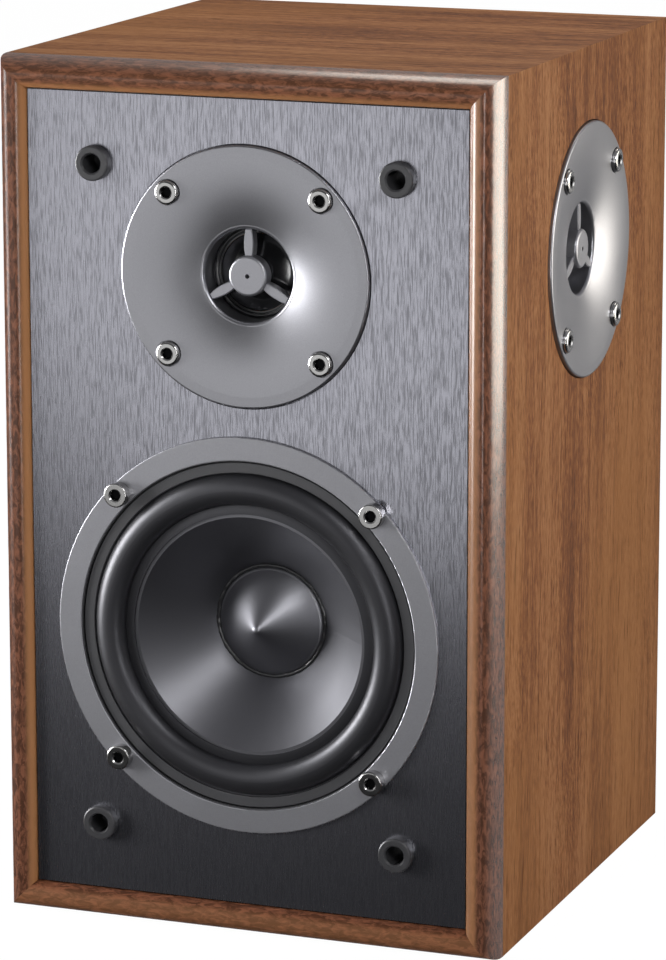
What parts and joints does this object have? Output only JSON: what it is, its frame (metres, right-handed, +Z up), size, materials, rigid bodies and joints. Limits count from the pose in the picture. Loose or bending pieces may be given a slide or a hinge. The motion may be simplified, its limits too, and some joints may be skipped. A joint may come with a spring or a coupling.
{
  "type": "bookshelf speaker",
  "caption": "Walnut-finished bookshelf speaker with a black baffle, a round-coned woofer, a horn-plated dome tweeter and a matching tweeter in its side.",
  "frame": {"origin": "centre of the cabinet's underside", "axes": "+Z up, -Y out of the front baffle, +X towards the side that carries the second tweeter"},
  "size_m": [0.1727, 0.185, 0.284],
  "materials": {
    "walnut_foil": "satin walnut-grain foil",
    "black_foil": "black brushed-grain foil",
    "back_board": "matt black foil on board",
    "black_moulding": "matt moulded black",
    "wadding": "loose white polyester fibre",
    "silver_plate": "satin silver paint",
    "silver_trim": "satin silver paint",
    "grey_ring": "satin dark grey",
    "coated_silk": "black coated silk, glossy",
    "copper_wire": "enamelled copper",
    "plated_steel": "zinc plated",
    "ferrite": "dull dark grey",
    "brass_contact": "gold-tone plated brass",
    "foam_seal": "closed-cell foam",
    "bright_screw": "bright nickel",
    "black_screw": "black oxide",
    "black_frame": "black powder coat",
    "surround_rubber": "satin black rubber",
    "cone_paper": "black coated paper, satin",
    "cap_black": "satin black",
    "spider_cloth": "resin-stiffened cotton",
    "phenolic": "brown laminate",
    "red_knob": "clear red moulding",
    "black_knob": "glossy black moulding",
    "circuit_board": "green lacquered board",
    "capacitor_film": "wrapped amber film",
    "cement": "white cement body",
    "wire_sheath": "soft black sheath"
  },
  "bodies": {
    "root": {"back_panel": "back_board", "binding_post_nuts": "brass_contact", "binding_posts": "brass_contact", "bottom_panel": "walnut_foil", "crossover_board": "circuit_board", "crossover_capacitors": "capacitor_film", "crossover_coils": "copper_wire", "crossover_resistors": "cement", "crossover_screws": "plated_steel", "damping_wadding": "wadding", "front_baffle": "black_foil", "front_tweeter_faceplate": "silver_plate", "front_tweeter_gasket": "foam_seal", "front_tweeter_magnet": "ferrite", "front_tweeter_phase_plug": "silver_plate", "front_tweeter_screws": "bright_screw", "front_tweeter_surround": "coated_silk", "front_tweeter_terminals": "brass_contact", "front_tweeter_top_plate": "plated_steel", "front_tweeter_yoke": "plated_steel", "grille_sockets": "black_moulding", "internal_wires": "wire_sheath", "port_tube": "black_moulding", "side_panel_left": "walnut_foil", "side_panel_right": "walnut_foil", "side_tweeter_faceplate": "silver_plate", "side_tweeter_gasket": "foam_seal", "side_tweeter_magnet": "ferrite", "side_tweeter_phase_plug": "silver_plate", "side_tweeter_screws": "bright_screw", "side_tweeter_surround": "coated_silk", "side_tweeter_terminals": "brass_contact", "side_tweeter_top_plate": "plated_steel", "side_tweeter_yoke": "plated_steel", "terminal_cup": "black_moulding", "terminal_cup_screws": "black_screw", "top_panel": "walnut_foil", "woofer_basket": "black_frame", "woofer_clamp_ring": "grey_ring", "woofer_gasket": "foam_seal", "woofer_magnet": "ferrite", "woofer_screws": "bright_screw", "woofer_spider": "spider_cloth", "woofer_surround": "surround_rubber", "woofer_terminal_strip": "phenolic", "woofer_terminal_tabs": "brass_contact", "woofer_top_plate": "plated_steel", "woofer_trim_ring": "silver_trim", "woofer_yoke": "plated_steel"},
    "woofer_moving": {"woofer_cone": "cone_paper", "woofer_dust_cap": "cap_black", "woofer_voice_coil": "copper_wire"},
    "front_dome_moving": {"front_tweeter_dome": "coated_silk", "front_tweeter_voice_coil": "copper_wire"},
    "side_dome_moving": {"side_tweeter_dome": "coated_silk", "side_tweeter_voice_coil": "copper_wire"},
    "red_washer": {"clamp_washer_red": "brass_contact"},
    "red_knob": {"terminal_knob_red": "red_knob"},
    "black_washer": {"clamp_washer_black": "brass_contact"},
    "black_knob": {"terminal_knob_black": "black_knob"}
  },
  "joints": [
    {"name": "woofer_travel", "type": "slide", "parent": "root", "child": "woofer_moving", "axis": [0, -1, 0], "range_m": [-0.004, 0.004], "stiffness_N_per_m": 1280, "deforming": ["woofer_surround", "woofer_spider"]},
    {"name": "front_dome_travel", "type": "slide", "parent": "root", "child": "front_dome_moving", "axis": [0, -1, 0], "range_m": [-0.0003, 0.0003], "stiffness_N_per_m": 30, "deforming": ["front_tweeter_surround"]},
    {"name": "side_dome_travel", "type": "slide", "parent": "root", "child": "side_dome_moving", "axis": [1, 0, 0], "range_m": [-0.0003, 0.0003], "stiffness_N_per_m": 30, "deforming": ["side_tweeter_surround"]},
    {"name": "red_washer_travel", "type": "slide", "parent": "root", "child": "red_washer", "axis": [0, 1, 0], "range_m": [0, 0.0031]},
    {"name": "red_knob_turn", "type": "hinge", "parent": "red_washer", "child": "red_knob", "pos_m": [-0.015, 0.081, 0.072], "axis": [0, 1, 0], "range_deg": [0, 1080]},
    {"name": "black_washer_travel", "type": "slide", "parent": "root", "child": "black_washer", "axis": [0, 1, 0], "range_m": [0, 0.0031]},
    {"name": "black_knob_turn", "type": "hinge", "parent": "black_washer", "child": "black_knob", "pos_m": [0.015, 0.081, 0.072], "axis": [0, 1, 0], "range_deg": [0, 1080]}
  ],
  "couplings": [
    {"joint": "red_washer_travel", "follows": "red_knob_turn", "m_per_rad": 0.00015915},
    {"joint": "black_washer_travel", "follows": "black_knob_turn", "m_per_rad": 0.00015915}
  ]
}
